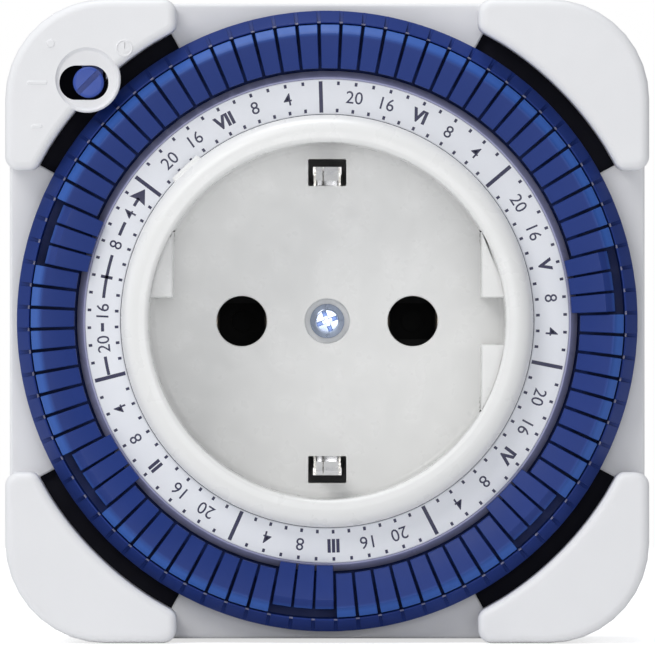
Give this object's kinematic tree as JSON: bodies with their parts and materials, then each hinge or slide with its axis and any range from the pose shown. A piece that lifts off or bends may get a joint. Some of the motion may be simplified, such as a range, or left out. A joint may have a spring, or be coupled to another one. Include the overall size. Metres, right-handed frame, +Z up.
{
  "type": "plug-in timer switch",
  "caption": "Square plug-in weekly timer switch with a central earthed socket, a turning ring of sliding tappets, a printed day scale and an override knob.",
  "frame": {"origin": "middle of the housing's back face, where the plug leaves it", "axes": "+Y into the wall socket along the plug pins, +Z up, +X right as seen from the front"},
  "size_m": [0.0708, 0.0745, 0.0708],
  "materials": {
    "housing_white": "fine satin",
    "insert_white": "satin gloss",
    "dial_blue": "satin",
    "tappet_blue": "satin",
    "scale_white": "satin, printed dark blue",
    "knob_blue": "satin",
    "zinc_steel": "bright zinc",
    "nickel_strip": "nickel plated",
    "nickel_pin": "nickel plated brass",
    "spring_bronze": "bright",
    "brass": "bright",
    "insulator_grey": "matt",
    "lever_cream": "satin",
    "gear_cream": "satin",
    "coil_copper": "enamelled wire",
    "rotor_black": "bonded ferrite"
  },
  "bodies": {
    "housing": {"front_cover": "housing_white", "rear_housing": "housing_white", "socket_insert": "insert_white", "centre_screw": "zinc_steel", "rear_screws": "zinc_steel", "earth_clips": "nickel_strip", "earth_bush": "brass", "earth_pin_bracket": "nickel_strip", "plug_pin_left": "nickel_pin", "plug_pin_right": "nickel_pin", "socket_contact_left": "spring_bronze", "socket_contact_right": "spring_bronze", "insulator_plate": "insulator_grey", "live_strip": "brass", "gear_stud": "zinc_steel", "motor_can": "zinc_steel", "motor_coil": "coil_copper", "motor_plate": "zinc_steel"},
    "dial": {"dial_carrier": "dial_blue", "scale_ring": "scale_white", "dial_gear": "gear_cream", "tappets_day_six": "tappet_blue", "tappets_day_five": "tappet_blue", "tappets_day_four": "tappet_blue", "tappets_day_three": "tappet_blue", "tappets_day_two": "tappet_blue", "tappets_day_one": "tappet_blue", "tappets_day_seven": "tappet_blue"},
    "drive": {"drive_pinion": "gear_cream", "clutch_spring": "spring_bronze"},
    "transfer": {"transfer_wheel": "gear_cream"},
    "motor_output": {"motor_pinion": "brass"},
    "rotor": {"motor_rotor": "rotor_black"},
    "lever": {"switch_lever": "lever_cream"},
    "contact_leaf": {"moving_contact": "spring_bronze"},
    "override": {"override_slider": "knob_blue"},
    "tappet_day_five_07": {"tappet_day_five_07": "tappet_blue"},
    "tappet_day_five_08": {"tappet_day_five_08": "tappet_blue"},
    "tappet_day_five_09": {"tappet_day_five_09": "tappet_blue"},
    "tappet_day_four_07": {"tappet_day_four_07": "tappet_blue"},
    "tappet_day_four_08": {"tappet_day_four_08": "tappet_blue"},
    "tappet_day_four_09": {"tappet_day_four_09": "tappet_blue"},
    "tappet_day_three_07": {"tappet_day_three_07": "tappet_blue"},
    "tappet_day_three_08": {"tappet_day_three_08": "tappet_blue"},
    "tappet_day_three_09": {"tappet_day_three_09": "tappet_blue"},
    "tappet_day_two_07": {"tappet_day_two_07": "tappet_blue"},
    "tappet_day_two_08": {"tappet_day_two_08": "tappet_blue"},
    "tappet_day_two_09": {"tappet_day_two_09": "tappet_blue"},
    "tappet_day_one_07": {"tappet_day_one_07": "tappet_blue"},
    "tappet_day_one_08": {"tappet_day_one_08": "tappet_blue"},
    "tappet_day_one_09": {"tappet_day_one_09": "tappet_blue"}
  },
  "joints": [
    {"name": "dial_turn", "type": "hinge", "parent": "housing", "child": "dial", "pos_m": [0, 0, 0], "axis": [0, 1, 0], "continuous": true},
    {"name": "drive_pinion_turn", "type": "hinge", "parent": "housing", "child": "drive", "pos_m": [0.0246, -0.026, -0.01498], "axis": [0, 1, 0], "continuous": true},
    {"name": "motor_output_turn", "type": "hinge", "parent": "housing", "child": "motor_output", "pos_m": [0.02284, -0.022, -0.02284], "axis": [0, 1, 0], "continuous": true},
    {"name": "transfer_wheel_turn", "type": "hinge", "parent": "housing", "child": "transfer", "pos_m": [0.0246, -0.022, -0.01498], "axis": [0, 1, 0], "continuous": true},
    {"name": "rotor_spin", "type": "hinge", "parent": "housing", "child": "rotor", "pos_m": [0.02284, -0.012, -0.02284], "axis": [0, 1, 0], "continuous": true},
    {"name": "lever_turn", "type": "hinge", "parent": "housing", "child": "lever", "pos_m": [-0.01875, -0.022, 0.02386], "axis": [0, -1, 0], "range_deg": [0, 4.6], "stiffness_Nm_per_rad": 0.02, "springref_deg": -2.86},
    {"name": "contact_flex", "type": "hinge", "parent": "housing", "child": "contact_leaf", "pos_m": [-0.0272, -0.02, -0.009], "axis": [0, 1, 0], "range_deg": [0, 4.4]},
    {"name": "override_slide", "type": "slide", "parent": "housing", "child": "override", "axis": [-1, 0, 0], "range_m": [0, 0.0015]},
    {"name": "push_day_five_07", "type": "slide", "parent": "dial", "child": "tappet_day_five_07", "axis": [0.977, 0, 0.2133], "range_m": [0, 0.00093]},
    {"name": "push_day_five_08", "type": "slide", "parent": "dial", "child": "tappet_day_five_08", "axis": [0.9902, 0, 0.1397], "range_m": [0, 0.00093]},
    {"name": "push_day_five_09", "type": "slide", "parent": "dial", "child": "tappet_day_five_09", "axis": [0.9979, 0, 0.0653], "range_m": [0, 0.00093]},
    {"name": "push_day_four_07", "type": "slide", "parent": "dial", "child": "tappet_day_four_07", "axis": [0.7759, 0, -0.6309], "range_m": [0, 0.00093]},
    {"name": "push_day_four_08", "type": "slide", "parent": "dial", "child": "tappet_day_four_08", "axis": [0.7266, 0, -0.6871], "range_m": [0, 0.00093]},
    {"name": "push_day_four_09", "type": "slide", "parent": "dial", "child": "tappet_day_four_09", "axis": [0.6732, 0, -0.7395], "range_m": [0, 0.00093]},
    {"name": "push_day_three_07", "type": "slide", "parent": "dial", "child": "tappet_day_three_07", "axis": [-0.0095, 0, -1], "range_m": [0, 0.00093]},
    {"name": "push_day_three_08", "type": "slide", "parent": "dial", "child": "tappet_day_three_08", "axis": [-0.0842, 0, -0.9965], "range_m": [0, 0.00093]},
    {"name": "push_day_three_09", "type": "slide", "parent": "dial", "child": "tappet_day_three_09", "axis": [-0.1584, 0, -0.9874], "range_m": [0, 0.00093]},
    {"name": "push_day_two_07", "type": "slide", "parent": "dial", "child": "tappet_day_two_07", "axis": [-0.7877, 0, -0.6161], "range_m": [0, 0.00093]},
    {"name": "push_day_two_08", "type": "slide", "parent": "dial", "child": "tappet_day_two_08", "axis": [-0.8315, 0, -0.5555], "range_m": [0, 0.00093]},
    {"name": "push_day_two_09", "type": "slide", "parent": "dial", "child": "tappet_day_two_09", "axis": [-0.8707, 0, -0.4918], "range_m": [0, 0.00093]},
    {"name": "push_day_one_07", "type": "slide", "parent": "dial", "child": "tappet_day_one_07", "axis": [-0.9728, 0, 0.2317], "range_m": [0, 0.00093]},
    {"name": "push_day_one_08", "type": "slide", "parent": "dial", "child": "tappet_day_one_08", "axis": [-0.9527, 0, 0.3038], "range_m": [0, 0.00093]},
    {"name": "push_day_one_09", "type": "slide", "parent": "dial", "child": "tappet_day_one_09", "axis": [-0.9274, 0, 0.3741], "range_m": [0, 0.00093]}
  ],
  "couplings": [
    {"joint": "drive_pinion_turn", "follows": "dial_turn", "ratio": -7},
    {"joint": "motor_output_turn", "follows": "transfer_wheel_turn", "ratio": -3.6},
    {"joint": "contact_flex", "follows": "lever_turn", "ratio": 0.95}
  ]
}
